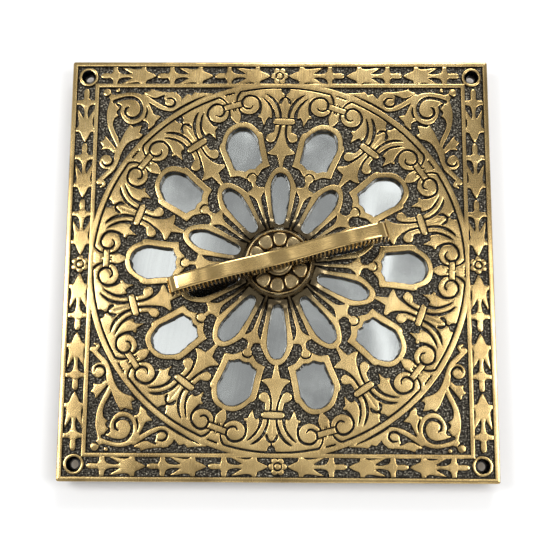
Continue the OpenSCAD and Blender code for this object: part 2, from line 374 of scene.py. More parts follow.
def draw_scrolls(relief):
    """Pair of scrolls outside each outer opening, with the bar and the leaves between them"""
    axis = relief.window_axis
    bud = smooth([
         (0, 72), (0.9, 72.8), (1.4, 73.6), (2.2, 75.2), (2.5, 76.6), (2.2, 78.2), (1.8, 80.4),
        (0, 80.4)])
    relief.add(axis, disc((7.8, 80.4), 5.15), mirrored(bud))
    spiral = stroke([
        (11.2, 74.6), (12.6, 77.2), (13.1, 80.4), (12, 82.8), (9.8, 84.3), (7.5, 84.6), (5.4, 83.5),
        (4.6, 81.5), (5, 79.6), (6.3, 78.4), (7.8, 78.2), (9, 79.1)],
        [0.6, 0.55, 0.55, 0.5, 0.5, 0.5, 0.48, 0.48, 0.45, 0.4, 0.35, 0.25])
    bud_side = stroke([(2.5, 80.1), (2.5, 78.6), (3, 77), (3.6, 75.6)], [0.3, 0.35, 0.4, 0.6])
    ring_groove = [(RING_GROOVE * sin(a), RING_GROOVE * cos(a))
                   for a in np.radians([20, 14, 9, 5])]
    curl = ring_groove + [(5.6, 87.5), (4.3, 86.6), (3.2, 85.2), (2.4, 83.5)]
    teeth = [(0, 88.1), (0.6, 87.6), (1.1, 88.1), (1.9, 87.7), (2.5, 88.1)]
    relief.cut(axis, spiral, bud_side, stroke(curl, [0.4] * 5 + [0.45, 0.42, 0.3]),
               stroke(teeth, [0.2, 0.3, 0.15, 0.32, 0.1]),
               straight((0.9, 83.05), (4.3, 83.15), 0.2, 0.22),
               straight((0.3, 80.05), (4, 80.05), 0.2, 0.22),
               straight((0.5, 80), (0.45, 79), 0.22, 0.18),
               straight((0.6, 83.1), (0.55, 84), 0.2, 0.15))


def draw_corners(relief):
    """Foliage of a corner, drawn for the corner where both coordinates are positive"""
    axis = relief.corner
    big_scroll = smooth([
         (80.4, 83.6), (76, 85), (72, 85.4), (68, 84.6), (64.4, 82.4), (62.6, 80.8), (64.4, 78.6),
        (64.8, 76), (65.2, 73.4), (66.5, 71.2), (68.9, 69.6), (72, 69.1), (74.5, 70.4), (76.4, 73),
        (77.3, 76), (76.9, 78.6), (79.6, 80.3)], closed=True)
    star_leaf = smooth([
         (64.8, 80.8), (63.2, 79), (61.9, 76.6), (60.8, 74.2), (59.6, 73.7), (57.4, 73.3),
        (57.4, 73.3), (58.7, 71.8), (60.2, 70.2), (60.8, 68.2), (62.8, 65.2), (62.8, 65.2),
        (63.6, 67.6), (63.9, 69.9), (66.3, 71.2), (66.3, 71.2), (65.1, 73.4), (65.2, 77)], closed=True)
    blade = smooth([
         (81.6, 84.2), (82.8, 80), (83.7, 76), (83.7, 72), (83, 68), (81.2, 63.5), (79.2, 59.5),
        (78.2, 57), (77.2, 59.8), (78.1, 62.7), (79.8, 66), (80.6, 69.3), (80, 71.9), (78, 73.4),
        (78, 73.4), (79.2, 75.2), (77.6, 77.2), (77.6, 77.2), (79.6, 79.6), (79.4, 83.4)], closed=True)
    tulip = smooth([
         (77.6, 58.8), (75.8, 62.8), (74.4, 65.8), (72.4, 68.9), (72.4, 68.9), (70.6, 67.7),
        (69, 68.2), (66.4, 68.6), (66.4, 68.6), (67.3, 66.4), (67.3, 64.5), (64.6, 63.4), (65.4, 61),
        (67.6, 61.8), (70.7, 61), (73.3, 59.3), (75.1, 56.7), (76.4, 53.6), (77.4, 50.3), (79, 47),
        (81, 47.4), (80, 50.5), (79.4, 54), (78.9, 57)], closed=True)
    side_leaf = smooth([
         (78.9, 56.8), (81.4, 60), (84.2, 63.6), (84.2, 63.6), (84.8, 61.4), (86.7, 60.2),
        (86.7, 60.2), (85.2, 58.2), (85.6, 56.3), (85.6, 56.3), (82, 56.4), (79.6, 54.6)], closed=True)
    ring_edge = [(RING_EDGE * cos(a), RING_EDGE * sin(a))
                 for a in np.radians(range(23, 68, 4))]
    tail_leaf = smooth([
         (49.4, 80), (46.8, 82.6), (45.2, 84.4), (43.8, 84.2), (42.7, 84.1), (41.4, 85.6),
        (41.4, 85.6), (38.4, 85.2), (32, 85), (32, 85), (37, 82.4), (42, 80.2), (46, 78.2),
        (49, 76.8)], closed=True)
    wing = smooth([
         (50, 85.2), (54, 85.5), (58, 85.9), (60.6, 86.4), (62.6, 87.2), (62.6, 87.2), (63.2, 86),
        (63.2, 86), (66.4, 85.3), (66.4, 85.3), (64.4, 84), (62, 82.8), (59.8, 82.5), (57.4, 83.6),
        (55, 84), (51, 83)], closed=True)
    wing_curl = stroke([
        (66, 83.2), (62, 80.6), (58, 78.2), (55, 77.1), (52, 76.9), (49.8, 78.2), (48.6, 80.6),
        (49.4, 83), (52.5, 84.5)], [1.3] + [1.15] * 6 + [1.2] * 2)
    low_stem = stroke([(78.8, 50), (80.2, 46.8), (82.8, 44.2), (85.6, 41.4)], [1.2] * 3 + [1.1])
    low_hook = stroke([(85.4, 41), (83.8, 38.9), (85.4, 37.8)], [1.1, 0.8, 0.5])
    bud_stem = straight((83.4, 85), (81.4, 82.6), 1.2, 1.3)
    outlines = (big_scroll, star_leaf, blade, tulip, side_leaf, tail_leaf, wing)
    relief.add(axis, *map(patch, outlines), wing_curl, low_stem, low_hook, bud_stem,
               disc((52.6, 80.6), 4.4), disc((83.9, 85.3), 1.9), disc((78.6, 86.4), 0.95),
               disc((82.7, 50.2), 3.75), disc((86, 40.4), 1.6))
    scroll_groove = stroke([
        (80.2, 80.6), (77, 81.9), (73.3, 82.6), (70.7, 82.3), (68.7, 81.2), (67.4, 79.3),
        (66.9, 77), (67.4, 74.7), (68.7, 73), (70.3, 72.3), (72.3, 72.4), (73.9, 73.4),
        (74.8, 75), (74.5, 76.9), (73.2, 77.9)],
        [0.9] + [0.75] * 5 + [0.7] * 4 + [0.65, 0.6, 0.55, 0.5, 0.2])
    wing_groove = stroke([
        (54.6, 82.2), (52.5, 82.3), (50.9, 81), (50.9, 79.3), (52.1, 78.2), (54.2, 78.1),
        (55.9, 79.3), (57.4, 80.9), (59.4, 81.6)], [0.2, 0.4] + [0.5] * 4 + [0.6, 1.0, 0.7])
    low_groove = stroke([
        (84.9, 50.2), (84.4, 48.9), (83, 48.2), (81, 48.9), (80, 50.8), (80.6, 52.8),
        (82.3, 54.2), (85.3, 54.9)], [0.2, 0.4] + [0.5] * 3 + [0.6, 0.7, 0.8])
    relief.cut(axis, scroll_groove, wing_groove, low_groove,
               stroke(ring_edge, [0.1, 0.4] + [0.5] * 8 + [0.4, 0.1]),
               stroke([(64.5, 78), (64.2, 75.4), (64.9, 72.6)], [0.1, 0.4, 0.3]),
               stroke([(56.6, 83.2), (56.2, 81.6), (56.2, 80)], [0.15, 0.4, 0.5]),
               stroke([(81.3, 62.6), (79.9, 60), (78.6, 57.6)], [0.3, 0.45, 0.2]),
               stroke([(82.2, 84.4), (83.6, 83.2), (85, 83.1)], [0.15, 0.4, 0.3]))


def draw_border(relief):
    """Arrow-like units that point to the middle of each side, and the flower there"""
    unit = smooth([
         (0, 0), (0.1, 0.5), (0.6, 1), (1.6, 1.3), (3.2, 1.35), (5, 1.25), (5.8, 2.2), (5.9, 3.4),
        (6, 4.6), (6, 4.6), (8.2, 4.6), (8.2, 4.6), (8.3, 3.2), (8.9, 1.9), (10.2, 1.15), (13, 0.8),
        (15.2, 1.15), (15.2, 1.15), (13.2, 2.3), (11.4, 3.4), (9.9, 4.15), (9.9, 4.15), (13, 4),
        (16, 3.5), (18.2, 3.4), (19.6, 3.9), (19.9, 4.6), (19.9, 4.6), (22, 4.6), (22, 4.6),
        (22.1, 3.4), (22.6, 2.4), (24.2, 1.7), (25.9, 0.9), (27.3, 0.05)])
    whole = np.vstack([unit, unit[::-1] * [1, -1]])
    relief.add(relief.band, patch(whole))
    middle = relief.side_middle
    petals = [disc((2.75 * cos(a), 2.75 * abs(sin(a))), 1.45)
              for a in np.radians([0, 60, 120])]
    relief.add(middle, disc((0, 0), 2.4), *petals)
    turns = [(rad * cos(a), rad * sin(a))
             for rad, a in zip([1.9, 1.8, 1.7, 1.5, 1.2, 0.8], np.radians(range(-30, 330, 60)))]
    relief.cut(middle, stroke(turns, [0.2, 0.28, 0.3, 0.3, 0.25, 0.15]))


def draw_relief():
    relief = Relief()
    inside_square = SQUARE_OUT - 0.5 - relief.square
    ring = np.minimum(relief.radius - ORNAMENT_IN, RING_OUT - relief.radius)
    relief.add_everywhere(np.minimum(ring, inside_square))
    draw_petals(relief)
    draw_windows(relief)
    draw_palmettes(relief)
    draw_scrolls(relief)
    draw_corners(relief)
    draw_border(relief)
    relief.add_everywhere(np.minimum(relief.square - SQUARE_IN, SQUARE_OUT - relief.square))
    relief.add_everywhere(relief.square - RIM_IN)
    relief.add_everywhere(BOSS_EDGE_R - relief.radius)
    relief.add(relief.corner, disc((SCREW_AT, SCREW_AT), SCREW_RING_R))
    # the openings keep a solid edge
    relief.add(relief.petal_axis, mirrored(PETAL_HOLE, extra=0.9))
    relief.add(relief.window_axis, mirrored(WINDOW_HOLE, extra=0.9))
    return relief.depth.reshape(relief.shape)


# ---- from the field to a mesh ----

# Ways through a grid cell, by which of its corners are inside: bottom left 1, bottom right 2,
# top right 4, top left 8. The inside stays on the left.
CELL_WAYS = {1: ["BL"], 2: ["RB"], 3: ["RL"], 4: ["TR"], 5: ["BL", "TR"], 6: ["TB"], 7: ["TL"],
             8: ["LT"], 9: ["BT"], 10: ["RB", "LT"], 11: ["RT"], 12: ["LR"], 13: ["BR"],
             14: ["LB"]}


def contour_loops(field, level):
    """Closed lines along which the field has this level."""
    f = field - level
    f[f == 0] = 1e-9
    inside = f > 0
    n = len(AXIS)
    place = np.zeros((2 * n * n, 2))
    row, col = np.nonzero(inside[:, 1:] != inside[:, :-1])
    share = f[row, col] / (f[row, col] - f[row, col + 1])
    place[row * n + col] = np.stack([AXIS[col] + share * STEP, AXIS[row]], 1)
    row, col = np.nonzero(inside[1:] != inside[:-1])
    share = f[row, col] / (f[row, col] - f[row + 1, col])
    place[n * n + row * n + col] = np.stack([AXIS[col], AXIS[row] + share * STEP], 1)
    code = (inside[:-1, :-1] * 1 + inside[:-1, 1:] * 2 + inside[1:, 1:] * 4 + inside[1:, :-1] * 8)
    follow = np.full(2 * n * n, -1)
    for case, ways in CELL_WAYS.items():
        row, col = np.nonzero(code == case)
        edge = {"B": row * n + col, "T": (row + 1) * n + col,
                "L": n * n + row * n + col, "R": n * n + row * n + col + 1}
        for way in ways:
            follow[edge[way[0]]] = edge[way[1]]
    follow = follow.tolist()
    loops = []
    for start in np.flatnonzero(np.array(follow) >= 0).tolist():
        if follow[start] < 0:
            continue
        ids = []
        at = start
        while follow[at] >= 0:
            ids.append(at)
            follow[at], at = -1, follow[at]
        loops.append(place[ids])
    return loops


def thin_out(loop, tolerance):
    """Drops points that lie almost on the line between their neighbours."""
    for turn in range(6):
        if len(loop) < 8:
            break
        before = np.roll(loop, 1, 0)
        chord = np.roll(loop, -1, 0) - before
        reach = loop - before
        off = abs(chord[:, 0] * reach[:, 1] - chord[:, 1] * reach[:, 0])
        drop = off < tolerance * (np.linalg.norm(chord, axis=1) + 1e-9)
        drop[turn % 2::2] = False
        loop = loop[~drop]
    return loop


def sample(field, x, y):
    """The field between its grid points."""
    u = np.clip((x + HALF) / STEP, 0, len(AXIS) - 1.001)
    v = np.clip((y + HALF) / STEP, 0, len(AXIS) - 1.001)
    i, j = v.astype(int), u.astype(int)
    s, t = v - i, u - j
    return ((1 - s) * ((1 - t) * field[i, j] + t * field[i, j + 1])
            + s * ((1 - t) * field[i + 1, j] + t * field[i + 1, j + 1]))


def ragged(loop, random):
    """The lower edge of a cast opening: a little tighter than its mouth, and uneven."""
    step = random.uniform(0, 1, len(loop))
    uneven = 0.5 * step + 0.25 * (np.roll(step, 1) + np.roll(step, -1))
    return loop + (loop - grown(loop, 1)) * (JAG_LEAST + JAG_RANGE * uneven)[:, None]


def skirt(radius):
    """How far the middle of the plate rises over the rest, at a radius."""
    share = np.clip((SKIRT_FOOT_R - radius) / (SKIRT_FOOT_R - SKIRT_R), 0, 1)
    return SKIRT_RISE * share**2.2


def around(outline, first):
    """The outline of an opening at each of its ten places."""
    t, r = outline[:, 0], outline[:, 1]
    reach = np.hypot(t, r)
    for k in range(WINDOWS):
        a = np.radians(first + k * PITCH + twist(reach)) + np.arctan2(t, r)
        yield np.stack([reach * np.cos(a), reach * np.sin(a)], 1)


def clean_outline(half):
    """The whole outline without the doubled points on its axis."""
    whole = both_sides(half)
    return whole[np.linalg.norm(whole - np.roll(whole, 1, 0), axis=1) > 0.02]


def triangulate(loops, loose=()):
    """Triangles over all the loops, and for each vertex the number of the input point."""
    points = [tuple(p) for loop in loops for p in loop]
    edges = []
    start = 0
    for loop in loops:
        count = len(loop)
        edges += [(start + i, start + (i + 1) % count) for i in range(count)]
        start += count
    points += [tuple(p) for p in loose]
    out = delaunay_2d_cdt([Vector(p) for p in points], edges, [], 0, 1e-5)
    verts = np.array([tuple(v) for v in out[0]])
    origin = np.array([o[0] if o else -1 for o in out[3]])
    new_id = np.full(len(points), -1)
    for number, sources in enumerate(out[3]):
        new_id[list(sources)] = number
    return verts, np.array(out[2]), origin, new_id


def put_in_scene(name, data):
    thing = bpy.data.objects.new(name, data)
    scene.collection.objects.link(thing)
    return thing


def make_mesh(name, verts, faces, materials, face_material=None, smooth_angle=50):
    mesh = bpy.data.meshes.new(name)
    mesh.from_pydata(np.asarray(verts, float) * MM, [], [tuple(map(int, f)) for f in faces])
    for material in materials:
        mesh.materials.append(material)
    if face_material is not None:
        mesh.polygons.foreach_set("material_index", np.asarray(face_material, np.int32))
    mesh.validate()
    mesh.shade_smooth()
    mesh.set_sharp_from_angle(angle=radians(smooth_angle))
    mesh.update()
    return put_in_scene(name, mesh)


def weigh_normals(piece):
    weighted = piece.modifiers.new("weighted_normals", "WEIGHTED_NORMAL")
    weighted.keep_sharp = True
    weighted.weight = 90


def store(piece, name, values):
    attribute = piece.data.attributes.new(name, "FLOAT", "POINT")
    attribute.data.foreach_set("value", np.asarray(values, np.float32))


def quads(rows, columns, rows_close=False, columns_close=True, flip=False):
    """Faces between neighbouring vertices of a grid that is numbered row by row."""
    faces = []
    for i in range(rows if rows_close else rows - 1):
        row, next_row = i * columns, (i + 1) % rows * columns
        for j in range(columns if columns_close else columns - 1):
            k = (j + 1) % columns
            face = (row + j, next_row + j, next_row + k, row + k)
            faces.append((face[0], face[3], face[2], face[1]) if flip else face)
    return faces


def hollow_piece(name, verts, faces, material, hollow, smooth_angle):
    """A piece whose material is darkened as painted shade where it is hollow."""
    piece = make_mesh(name, verts, faces, [material], smooth_angle=smooth_angle)
    store(piece, "hollow", hollow)
    weigh_normals(piece)
    return piece


BRASS, GROUND, WALL, CAST, SINK = range(5)


def face_plate_mesh():
    """Front of the plate. Every line in it has a shape, a rise, a drop, and whether it is ground out
    of the painted shade at the walls' foot.
    """
    field = draw_relief()
    levels = []
    for level, rise in zip([OPEN_GROUND, *WALL_INSIDE], [0.0, *WALL_RISE]):
        for loop in contour_loops(field, level):
            if len(loop) > 12:
                levels.append((thin_out(loop, 0.012), rise, 0.0, float(level == OPEN_GROUND)))
    rims = [(rounded_square(HALF, 1.0), 1.0, EDGE_ROUND, 0.0)]
    for outline, first in ((PETAL_HOLE, PITCH / 2), (WINDOW_HOLE, 0)):
        for loop in around(clean_outline(outline), first):
            rims.append((loop, 1.0, EDGE_ROUND, 0.0))
    for x in (-SCREW_AT, SCREW_AT):
        for y in (-SCREW_AT, SCREW_AT):
            rims.append((circle((x, y), SINK_R, HOLE_SIDES), 1.0, 0.1, 0.0))
    rims.append((circle((0, 0), BUSH_R, HOLE_SIDES), 1.0, 0.0, 0.0))
    inner = [(rounded_square(HALF - EDGE_ROUND, 0.7), 1.0, 0.0, 0.0)]
    for loop, rise, drop, _ in rims[1:]:
        inner.append((grown(loop, 0.3), rise, 0.0, 0.0))
    every = rims + inner + levels
    rings = [circle((0, 0), r, int(5.2 * r)) for r in np.arange(SKIRT_R, SKIRT_FOOT_R + 2, 0.75)]
    verts, faces, origin, new_id = triangulate([e[0] for e in every], np.vstack(rings))
    lengths = [len(e[0]) for e in every]
    known = np.arange(len(origin))[(origin >= 0) & (origin < sum(lengths))]
    rise = np.interp(sample(field, verts[:, 0], verts[:, 1]), WALL_INSIDE, WALL_RISE)
    drop = np.zeros(len(verts))
    ground_out_of_shade = np.zeros(len(verts))
    for column, values in ((1, rise), (2, drop), (3, ground_out_of_shade)):
        values[known] = np.repeat([line[column] for line in every], lengths)[origin[known]]
    z = GROUND_Z + RELIEF * rise - drop + skirt(np.hypot(verts[:, 0], verts[:, 1]))
    # leave out what lies in an opening
    middle = verts[faces].mean(1)
    gone = np.zeros(len(faces), bool)
    for loop, *_ in rims[1:]:
        low, high = loop.min(0), loop.max(0)
        close = np.flatnonzero(((middle > low) & (middle < high)).all(1))
        gone[close] |= is_inside(loop, middle[close, 0], middle[close, 1])
    faces = faces[~gone]
    slots = np.where((rise[faces] < 0.01).all(1), GROUND, BRASS)
    # numbers of the vertices along each rim
    starts = np.cumsum([0] + lengths)
    rim_ids = [new_id[starts[k]:starts[k + 1]] for k in range(len(rims))]
    front = np.column_stack([verts, z])
    return front, faces, slots, rise, ground_out_of_shade, rims, rim_ids


def back_height(x, y):
    """Height of the plate's rear surface: rim, recess, and the four pads of the clips."""
    if hypot(x, y) > RECESS_R:
        return BACK_Z
    for k in range(4):
        a = radians(45 + 90 * k)
        along = x * cos(a) + y * sin(a)
        across = -x * sin(a) + y * cos(a)
        if along > PAD_IN and abs(across) < PAD_WIDTH / 2:
            return PAD_Z
    return WEB_Z


def pad_outline(angle):
    """A clip pad's three free sides and the stretch of the recess's wall behind it."""
    a = radians(angle)
    reach = asin(PAD_WIDTH / 2 / RECESS_R)
    wall = [(RECESS_R * cos(t), RECESS_R * sin(t)) for t in np.linspace(-reach, reach, 5)]
    local = np.array([(PAD_IN, PAD_WIDTH / 2), (PAD_IN, -PAD_WIDTH / 2), *wall])
    turn = np.array([[cos(a), sin(a)], [-sin(a), cos(a)]])
    return local @ turn


def build_face_plate(materials):
    front, faces, slots, rise, ground_out_of_shade, rims, rim_ids = face_plate_mesh()
    verts = front.tolist()
    triangles = faces.tolist()
    materials_of = slots.tolist()

    def band(upper, lower, material):
        """Joins two rings of vertices with a strip."""
        count = len(upper)
        for i in range(count):
            j = (i + 1) % count
            triangles.append((int(upper[i]), int(lower[i]), int(lower[j]), int(upper[j])))
            materials_of.append(material)

    def lowered(loop, z):
        """A ring of new vertices under the rim, along the loop."""
        first = len(verts)
        verts.extend((x, y, z) for x, y in loop)
        return list(range(first, len(verts)))

    back_loops = []
    ends = []
    random = np.random.default_rng(7)
    # rims come in this order: outer edge, openings, screw holes, bore
    for number, ((loop, *_), ids) in enumerate(zip(rims, rim_ids)):
        if OPENINGS < number <= OPENINGS + 4:
            centre = loop.mean(0)
            foot = centre + (loop - centre) * SCREW_R / SINK_R
            cone = lowered(foot, FACE_Z - SINK_DEPTH)
            band(ids, cone, SINK)
            end = lowered(foot, BACK_Z)
            band(cone, end, SINK)
        elif 0 < number <= OPENINGS:
            foot = ragged(loop, random)
            end = lowered(foot, WEB_Z)
            band(ids, end, WALL)
        else:
            foot = loop
            end = lowered(foot, BACK_Z if number == 0 else WEB_Z)
            band(ids, end, CAST if number == 0 else WALL)
        back_loops.append(foot)
        ends.append(end)
    recess = circle((0, 0), RECESS_R, 180)
    pads = [pad_outline(45 + 90 * k) for k in range(4)]
    plan, tris, origin, new_id = triangulate(back_loops + [recess] + pads)
    middle = plan[tris].mean(1)
    gone = np.zeros(len(tris), bool)
    for loop in back_loops[1:]:
        gone |= is_inside(loop, middle[:, 0], middle[:, 1])
    tris = tris[~gone]
    height = [back_height(*middle[k]) for k in np.flatnonzero(~gone)]
    known = {}
    start = 0
    for loop, end in zip(back_loops, ends):
        for offset, vertex in enumerate(end):
            known[(int(new_id[start + offset]), round(verts[vertex][2], 3))] = vertex
        start += len(loop)

    def back_vertex(v, z):
        key = (int(v), round(z, 3))
        if key not in known:
            known[key] = len(verts)
            verts.append((plan[v][0], plan[v][1], z))
        return known[key]

    sides = {}
    for (a, b, c), z in zip(tris.tolist(), height):
        triangles.append((back_vertex(c, z), back_vertex(b, z), back_vertex(a, z)))
        materials_of.append(CAST)
        for p, q in ((a, b), (b, c), (c, a)):
            sides[(p, q)] = z
    for (p, q), z in sides.items():
        other = sides.get((q, p))
        if other is not None and other > z + 1e-6:
            triangles.append((back_vertex(p, z), back_vertex(q, z), back_vertex(q, other),
                              back_vertex(p, other)))
            materials_of.append(CAST)
    piece = make_mesh("face_plate_cast", verts, triangles, materials, materials_of)
    more = len(verts) - len(rise)
    store(piece, "rise", np.concatenate([rise, np.full(more, 0.4)]))
    store(piece, "ground_out_of_shade", np.concatenate([ground_out_of_shade, np.zeros(more)]))
    # painted shade and dark reflection of the handle and rosette, fading out away from the boss
    radius = np.linalg.norm(np.array(verts)[:, :2], axis=1)
    store(piece, "boss_painted_shade", np.clip((PAINTED_SHADE_OUT - radius) / (PAINTED_SHADE_OUT - PAINTED_SHADE_IN), 0, 1))
    weigh_normals(piece)
    return piece


# ---- materials ----


class Nodes:
    """Short calls for building a material's nodes."""

    def __init__(self, name, rough=0.4, metal=1.0, colour=(0.8, 0.6, 0.3), **shader):
        self.material = bpy.data.materials.new(name)
        self.material.use_nodes = True
        self.tree = self.material.node_tree
        self.shader = self.tree.nodes["Principled BSDF"]
        self.shader.inputs["Roughness"].default_value = rough
        self.shader.inputs["Metallic"].default_value = metal
        self.shader.inputs["Base Color"].default_value = (*colour, 1)
        for socket, value in shader.items():
            self.shader.inputs[socket.replace("_", " ")].default_value = value
        self.place = self.node("ShaderNodeTexCoord").outputs["Object"]

    def node(self, kind):
        return self.tree.nodes.new(kind)

    def link(self, output, target):
        self.tree.links.new(output, target)

    def to_shader(self, socket, output):
        self.link(output, self.shader.inputs[socket])

    def colour(self, output):
        self.to_shader("Base Color", output)

    def rough(self, output):
        self.to_shader("Roughness", output)

    def texture(self, kind, size_mm, stretch=(1, 1, 1), turn=0.0):
        """A texture with features about size_mm wide, longer along an axis by its stretch."""
        mapping = self.node("ShaderNodeMapping")
        mapping.vector_type = "TEXTURE"
        mapping.inputs["Scale"].default_value = [size_mm * MM * s for s in stretch]
        mapping.inputs["Rotation"].default_value = (0, 0, radians(turn))
        texture = self.node(kind)
        texture.inputs["Scale"].default_value = 1.0
        self.link(self.place, mapping.inputs["Vector"])
        self.link(mapping.outputs["Vector"], texture.inputs["Vector"])
        return texture

    def noise(self, size_mm, detail=2.0, stretch=(1, 1, 1), turn=0.0, distortion=0.0):
        texture = self.texture("ShaderNodeTexNoise", size_mm, stretch, turn)
        texture.inputs["Detail"].default_value = detail
        texture.inputs["Distortion"].default_value = distortion
        return texture.outputs["Fac"]

    def grains(self, size_mm):
        """Distance to the nearest of a crowd of points about size_mm apart."""
        return self.texture("ShaderNodeTexVoronoi", size_mm).outputs["Distance"]

    def attribute(self, name):
        node = self.node("ShaderNodeAttribute")
        node.attribute_name = name
        return node.outputs["Fac"]

    def ramp(self, factor, stops):
        """Colours or levels along a factor: stops are (place, colour or level)."""
        node = self.node("ShaderNodeValToRGB")
        while len(node.color_ramp.elements) < len(stops):
            node.color_ramp.elements.new(0.5)
        for element, (place, value) in zip(node.color_ramp.elements, stops):
            element.position = place
            shade = value if isinstance(value, tuple) else (value,) * 3
            element.color = (*shade, 1)
        self.link(factor, node.inputs["Fac"])
        return node.outputs["Color"]

    def between(self, factor, low, high):
        """From low to high over the middle of a noise's range."""
        return self.ramp(factor, [(0.3, low), (0.7, high)])

    def mix(self, factor, first, second):
        """From the first colour to the second along a factor."""
        node = self.node("ShaderNodeMix")
        node.data_type = "RGBA"
        self.link(factor, node.inputs[0])
        for value, socket in ((first, node.inputs[6]), (second, node.inputs[7])):
            if isinstance(value, tuple):
                socket.default_value = (*value, 1)
            else:
                self.link(value, socket)
        return node.outputs[2]

    def bump(self, height, strength, depth_mm):
        node = self.node("ShaderNodeBump")
        node.inputs["Strength"].default_value = strength
        node.inputs["Distance"].default_value = depth_mm * MM
        self.link(height, node.inputs["Height"])
        if self.shader.inputs["Normal"].is_linked:
            self.link(self.shader.inputs["Normal"].links[0].from_socket, node.inputs["Normal"])
        self.to_shader("Normal", node.outputs["Normal"])


def antique_brass():
    """Brushed brass of the raised pattern, browner where the relief's wall goes down, and darkened
    around the boss as painted shade and dark reflection of the handle and rosette
    """
    m = Nodes("antique_brass", Anisotropic=0.75)
    brushed = m.node("ShaderNodeTangent")
    brushed.direction_type = "RADIAL"
    brushed.axis = "Y"
    m.to_shader("Tangent", brushed.outputs["Tangent"])
    stains = m.noise(20, detail=3)
    streaks = m.noise(0.4, detail=2, stretch=(1, 22, 1), turn=-3)
    colour = m.ramp(stains, [(0.34, (0.42, 0.295, 0.125)), (0.5, (0.66, 0.475, 0.205)),
                             (0.66, (0.86, 0.645, 0.30))])
    colour = m.mix(m.ramp(streaks, [(0.35, 0.0), (0.7, 0.5)]), colour, (0.38, 0.26, 0.11))
    patina = m.ramp(m.attribute("rise"), [(0.3, 1.0), (0.97, 0.0)])
    colour = m.mix(patina, colour, (0.06, 0.042, 0.024))
    # painted shade and dark reflection of the handle and rosette, strongest near the boss
    colour = m.mix(m.ramp(m.attribute("boss_painted_shade"), [(0.0, 0.0), (1.0, 0.85)]), colour,
                   (0.11, 0.09, 0.06))
    m.colour(colour)
    m.rough(m.between(streaks, 0.2, 0.28))
    m.bump(streaks, 0.08, 0.03)
    m.bump(m.noise(11, detail=1, stretch=(1, 3, 1)), 0.6, 0.5)
    return m.material


def dark_ground():
    """Pebbled, blackened ground between the raised shapes, with painted shade near black along the
    foot of the walls
    """
    m = Nodes("dark_ground", rough=0.35, metal=0.9)
    pebbles = m.grains(0.95)
    patches = m.noise(0.8, detail=3)
    # pebble tops lighter: partly bare metal and partly a painted highlight
    bare_and_highlit = m.ramp(patches, [(0.42, (0.013, 0.011, 0.008)), (0.52, (0.075, 0.066, 0.048)),
                            (0.62, (0.34, 0.31, 0.24))])
    colour = m.mix(m.ramp(pebbles, [(0.2, 0.0), (0.65, 0.8)]), bare_and_highlit, (0.012, 0.01, 0.008))
    # painted shade: the ground near the foot of the walls is painted near black
    colour = m.mix(m.ramp(m.attribute("ground_out_of_shade"), [(0.0, 0.9), (1.0, 0.0)]), colour,
                   (0.01, 0.009, 0.008))
    m.colour(colour)
    m.rough(m.between(patches, 0.5, 0.3))
    m.bump(pebbles, 1.0, 0.3)
    return m.material


def wall_brass():
    """Walls of the openings: brass nearly black, partly patina and partly painted shade, with the
    metal showing on a few jags
    """
    m = Nodes("wall_brass")
    blotches = m.noise(3, detail=4)
    m.colour(m.ramp(blotches, [(0.4, (0.008, 0.007, 0.005)), (0.6, (0.028, 0.022, 0.013)),
                               (0.8, (0.16, 0.12, 0.06))]))
    m.rough(m.between(blotches, 0.55, 0.38))
    m.bump(m.noise(0.6, detail=3), 0.4, 0.08)
    return m.material


def cast_back():
    """Rough sand-cast brass of the sides and the back"""
    m = Nodes("cast_back", rough=0.5)
    blotches = m.noise(14, detail=4)
    m.colour(m.between(blotches, (0.30, 0.215, 0.1), (0.52, 0.385, 0.19)))
    m.rough(m.between(blotches, 0.62, 0.45))
    m.bump(m.noise(0.8, detail=4), 0.6, 0.12)
    return m.material


def sink_black():
    """Glossy countersinks and screw holes, nearly black: partly a blackened finish, partly painted
    shade of the deep holes
    """
    m = Nodes("sink_black")
    marks = m.noise(1.2, detail=3)
    m.colour(m.ramp(marks, [(0.4, (0.012, 0.012, 0.014)), (0.75, (0.07, 0.07, 0.075))]))
    m.rough(m.between(marks, 0.18, 0.35))
    m.bump(marks, 0.2, 0.05)
    return m.material


def handle_brass():
    """Smooth, waxed brass of the bow"""
    m = Nodes("handle_brass")
    cloud = m.noise(12, detail=3)
    fine = m.noise(0.5, detail=2, stretch=(24, 1, 1), turn=15)
    colour = m.between(cloud, (0.62, 0.43, 0.17), (0.78, 0.56, 0.24))
    colour = m.mix(m.ramp(fine, [(0.4, 0.0), (0.75, 0.35)]), colour, (0.42, 0.29, 0.12))
    # painted shade: the grooves between the reeds and the low part of the sides go near black
    hollow = m.ramp(m.attribute("hollow"), [(0.0, 0.0), (0.55, 1.0)])
    m.colour(m.mix(hollow, colour, (0.012, 0.009, 0.005)))
    m.rough(m.between(fine, 0.12, 0.19))
    m.bump(fine, 0.12, 0.02)
    m.bump(m.noise(16, detail=1), 0.6, 0.5)
    return m.material


def dark_brass():
    """Brown, polished brass of the rosette and the collar"""
    m = Nodes("dark_brass")
    cloud = m.noise(5, detail=3)
    colour = m.between(cloud, (0.32, 0.235, 0.12), (0.55, 0.42, 0.22))
    # painted shade where the rosette and the collar are hollow
    hollow = m.ramp(m.attribute("hollow"), [(0.0, 0.0), (1.0, 1.0)])
    m.colour(m.mix(hollow, colour, (0.03, 0.022, 0.014)))
    m.rough(m.between(cloud, 0.16, 0.28))
    m.bump(m.noise(1.5, detail=3), 0.2, 0.08)
    return m.material


